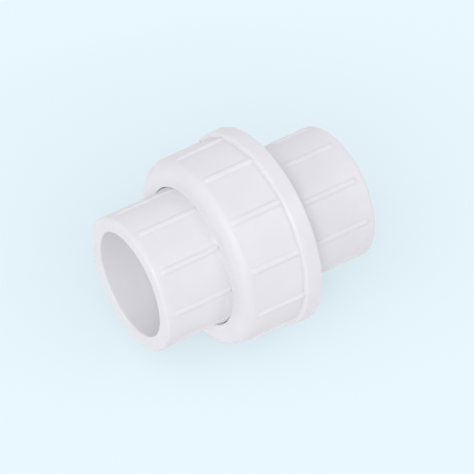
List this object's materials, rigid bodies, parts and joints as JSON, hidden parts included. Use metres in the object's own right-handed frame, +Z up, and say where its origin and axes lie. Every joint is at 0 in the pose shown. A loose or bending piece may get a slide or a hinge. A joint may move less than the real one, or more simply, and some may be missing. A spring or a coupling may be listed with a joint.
{
  "type": "union fitting",
  "caption": "White plastic pipe union for solvent-weld irrigation pipe: a ribbed nut clamps a flanged tailpiece to a threaded end, sealed by an O-ring.",
  "frame": {"origin": "middle of the assembled fitting's length, on the pipe axis, which is the centre of its bounding box", "axes": "+X along the pipe axis from the tailpiece to the threaded end, +Z up as the fitting lies on its nut"},
  "size_m": [0.072, 0.0614, 0.0614],
  "materials": {
    "nut_pvc": "satin white moulded PVC",
    "socket_pvc": "satin white moulded PVC",
    "seal_rubber": "black moulded EPDM"
  },
  "bodies": {
    "union_nut": {"union_nut": "nut_pvc"},
    "tailpiece": {"tailpiece": "socket_pvc"},
    "seal": {"o_ring": "seal_rubber"},
    "threaded_end": {"threaded_end": "socket_pvc"}
  },
  "joints": [
    {"name": "tailpiece_swivel", "type": "hinge", "parent": "union_nut", "child": "tailpiece", "pos_m": [0, 0, 0], "axis": [1, 0, 0], "continuous": true},
    {"name": "thread_travel", "type": "slide", "parent": "union_nut", "child": "seal", "axis": [1, 0, 0], "range_m": [0, 0.014]},
    {"name": "thread_turn", "type": "hinge", "parent": "seal", "child": "threaded_end", "pos_m": [0, 0, 0], "axis": [1, 0, 0], "range_deg": [0, 1440]}
  ],
  "couplings": [
    {"joint": "thread_travel", "follows": "thread_turn", "m_per_rad": 0.00055704}
  ]
}
